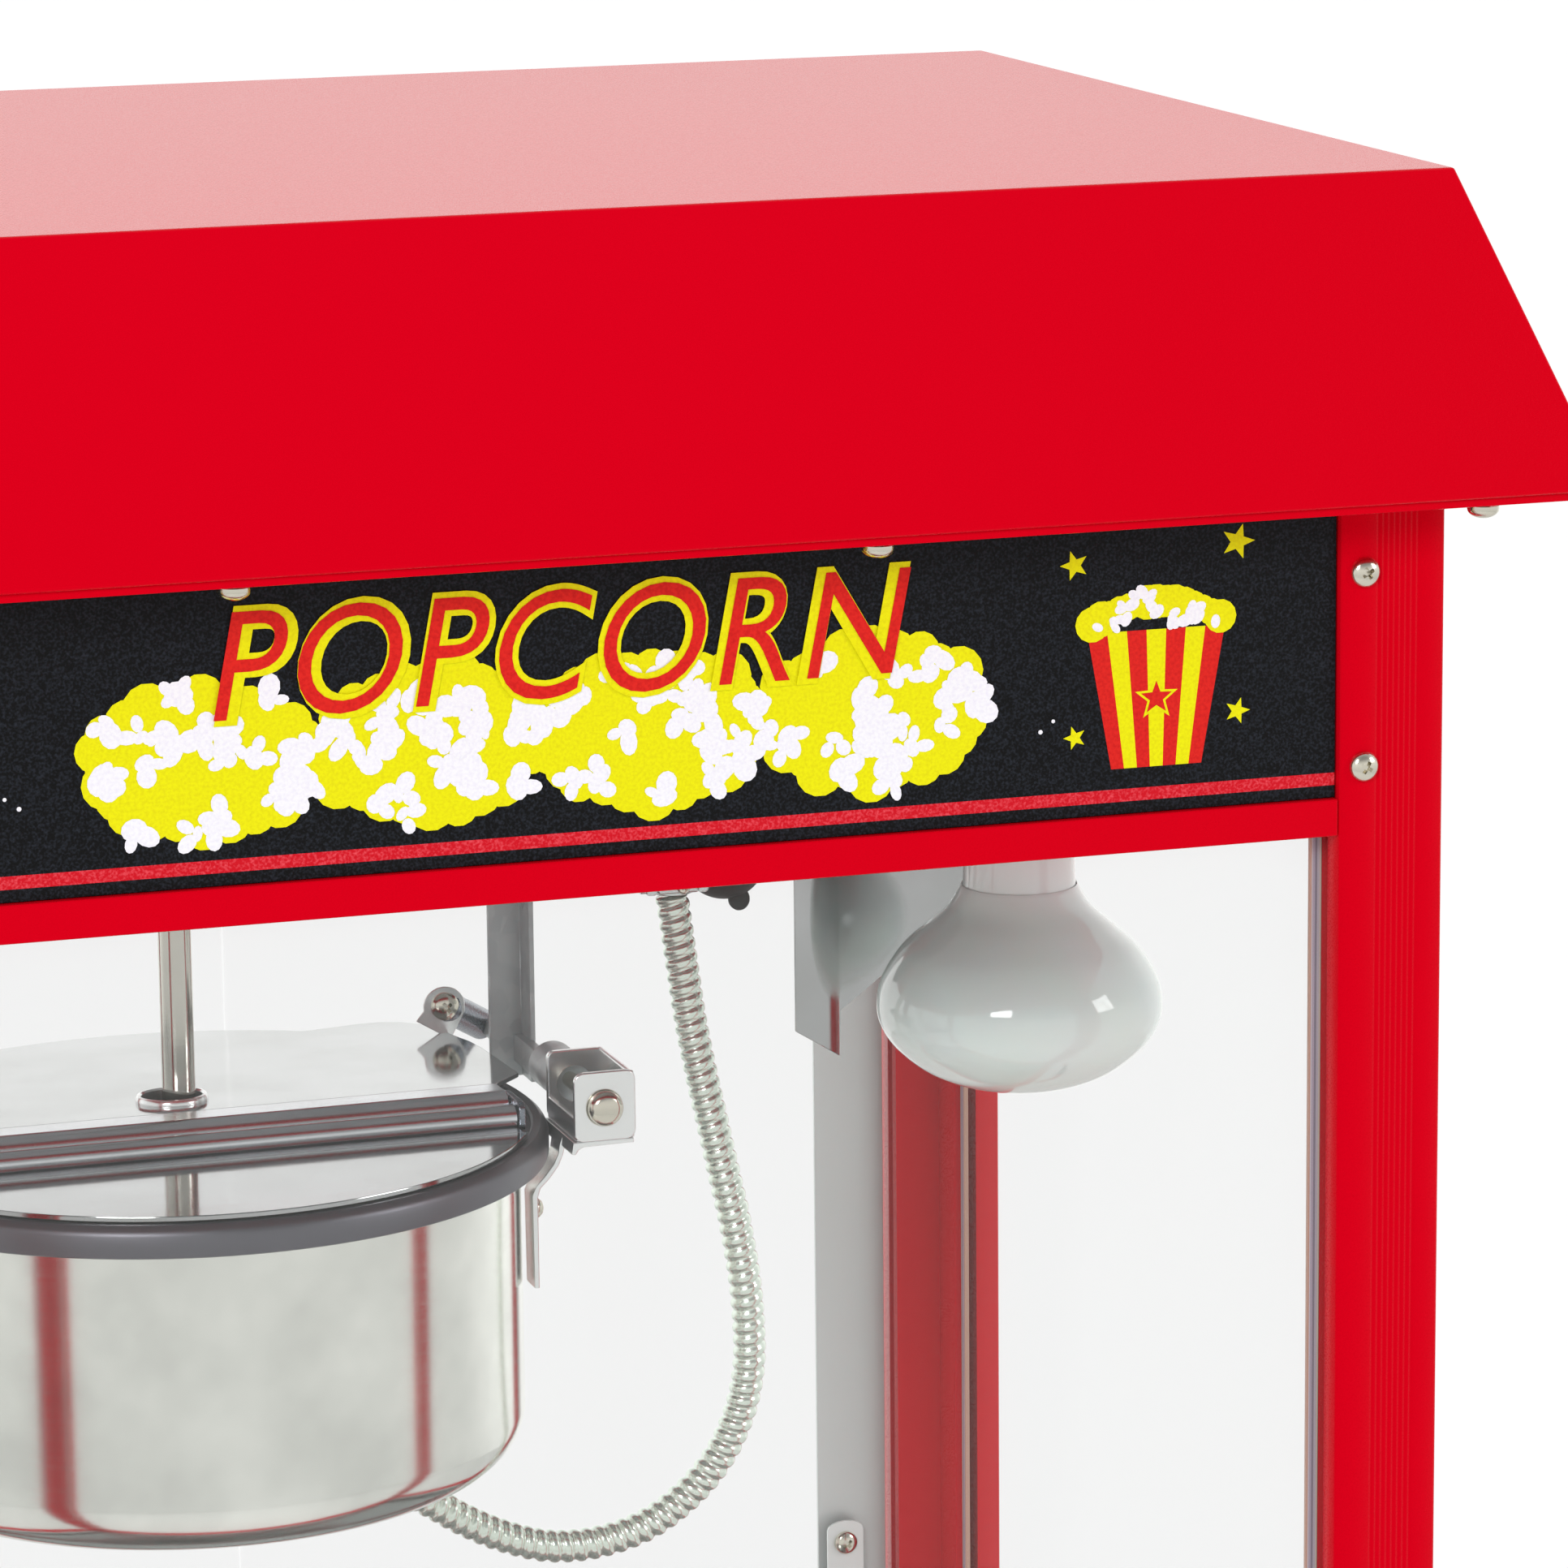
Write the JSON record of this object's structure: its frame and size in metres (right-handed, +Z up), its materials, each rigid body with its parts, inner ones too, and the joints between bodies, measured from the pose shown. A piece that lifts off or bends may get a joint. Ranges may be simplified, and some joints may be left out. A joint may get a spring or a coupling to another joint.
{
  "type": "popcorn cart",
  "caption": "Glass-sided popcorn machine with a hanging stirred kettle under a red canopy, on a two-wheeled cart with a shelf and a push handle.",
  "frame": {"origin": "on the floor, under the middle of the cart's overall box", "axes": "+X along the cart towards its push handle, +Y towards the operator's side with the doors, +Z up"},
  "size_m": [0.8, 0.524, 1.55],
  "materials": {
    "red_powder_coat": "glossy red powder coat with a fine orange peel",
    "black_print": "black printed sheet with a fine grain",
    "clear_acrylic": "clear",
    "polished_steel": "polished stainless",
    "dark_steel": "dark satin",
    "zinc_steel": "zinc plated",
    "satin_aluminium": "satin anodised",
    "lamp_glass": "opaque white bulb",
    "white_ceramic": "unglazed white",
    "black_plastic": "fine texture",
    "rubber": "matt",
    "chrome": "bright"
  },
  "bodies": {
    "cabinet": {"axle": "zinc_steel", "base_housing": "red_powder_coat", "cart_frame_front": "red_powder_coat", "cart_frame_rear": "red_powder_coat", "cart_shelf": "red_powder_coat", "cart_top": "red_powder_coat", "ceiling_plate": "zinc_steel", "conduit": "polished_steel", "conduit_connector": "zinc_steel", "foot_front": "rubber", "foot_rear": "rubber", "gear_motor": "dark_steel", "hanger_right": "zinc_steel", "header_front": "red_powder_coat", "header_left": "red_powder_coat", "header_rear": "red_powder_coat", "header_right": "red_powder_coat", "kettle_socket": "black_plastic", "lamp_bulb": "lamp_glass", "lamp_holder": "white_ceramic", "lamp_screen": "polished_steel", "pane_front": "clear_acrylic", "pane_left": "clear_acrylic", "pane_right": "clear_acrylic", "pivot_pin": "chrome", "popcorn_tray": "polished_steel", "post_front_left": "red_powder_coat", "post_front_right": "red_powder_coat", "post_rear_left": "red_powder_coat", "post_rear_right": "red_powder_coat", "power_inlet": "black_plastic", "push_handle": "red_powder_coat", "roof_canopy": "red_powder_coat", "sign_front": "black_print", "sign_left": "black_print", "sign_right": "black_print"},
    "kettle": {"kettle_pot": "polished_steel", "kettle_rim": "dark_steel", "lid_bracket": "zinc_steel", "kettle_clevis": "zinc_steel", "terminal_box": "polished_steel", "kettle_handle": "zinc_steel", "handle_grip": "black_plastic"},
    "front_flap": {"lid_front": "polished_steel"},
    "rear_flap": {"lid_rear": "polished_steel"},
    "stirrer": {"agitator": "polished_steel"},
    "drive": {"drive_coupling": "zinc_steel"},
    "left_door": {"door_left": "clear_acrylic", "door_stile_left": "satin_aluminium"},
    "right_door": {"door_right": "clear_acrylic", "door_stile_right": "satin_aluminium"},
    "drawer": {"crumb_drawer": "red_powder_coat"},
    "light_rocker": {"switch_light": "black_plastic"},
    "heat_rocker": {"switch_heat": "black_plastic"},
    "motor_rocker": {"switch_motor": "black_plastic"},
    "front_wheel": {"wheel_front": "red_powder_coat", "tyre_front": "rubber"},
    "rear_wheel": {"wheel_rear": "red_powder_coat", "tyre_rear": "rubber"}
  },
  "joints": [
    {"name": "kettle_tilt", "type": "hinge", "parent": "cabinet", "child": "kettle", "pos_m": [0.0506, -0.046, 1.2884], "axis": [0, -1, 0], "range_deg": [0, 80], "deforming": ["conduit"]},
    {"name": "front_flap_hinge", "type": "hinge", "parent": "kettle", "child": "front_flap", "pos_m": [-0.059, -0.0545, 1.2861], "axis": [-1, 0, 0], "range_deg": [0, 100]},
    {"name": "rear_flap_hinge", "type": "hinge", "parent": "kettle", "child": "rear_flap", "pos_m": [-0.059, -0.0455, 1.2871], "axis": [1, 0, 0], "range_deg": [0, 16]},
    {"name": "drive_spin", "type": "hinge", "parent": "cabinet", "child": "drive", "pos_m": [-0.059, -0.02, 1.458], "axis": [0, 0, 1], "continuous": true},
    {"name": "stirrer_spin", "type": "hinge", "parent": "kettle", "child": "stirrer", "pos_m": [-0.059, -0.02, 1.1876], "axis": [0, 0, 1], "continuous": true},
    {"name": "left_door_hinge", "type": "hinge", "parent": "cabinet", "child": "left_door", "pos_m": [-0.215, 0.187, 1.16], "axis": [0, 0, 1], "range_deg": [0, 100]},
    {"name": "right_door_hinge", "type": "hinge", "parent": "cabinet", "child": "right_door", "pos_m": [0.215, 0.187, 1.16], "axis": [0, 0, -1], "range_deg": [0, 100]},
    {"name": "drawer_slide", "type": "slide", "parent": "cabinet", "child": "drawer", "axis": [0, 1, 0], "range_m": [0, 0.14]},
    {"name": "light_rocker_hinge", "type": "hinge", "parent": "cabinet", "child": "light_rocker", "pos_m": [-0.06, 0.1816, 1.423], "axis": [-1, 0, 0], "range_deg": [0, 12]},
    {"name": "heat_rocker_hinge", "type": "hinge", "parent": "cabinet", "child": "heat_rocker", "pos_m": [0, 0.1816, 1.423], "axis": [-1, 0, 0], "range_deg": [0, 12]},
    {"name": "motor_rocker_hinge", "type": "hinge", "parent": "cabinet", "child": "motor_rocker", "pos_m": [0.06, 0.1816, 1.423], "axis": [-1, 0, 0], "range_deg": [0, 12]},
    {"name": "front_wheel_spin", "type": "hinge", "parent": "cabinet", "child": "front_wheel", "pos_m": [-0.2, -0.235, 0.2], "axis": [0, 1, 0], "continuous": true},
    {"name": "rear_wheel_spin", "type": "hinge", "parent": "cabinet", "child": "rear_wheel", "pos_m": [-0.2, 0.235, 0.2], "axis": [0, 1, 0], "continuous": true}
  ],
  "couplings": [
    {"joint": "stirrer_spin", "follows": "drive_spin", "ratio": 1}
  ]
}
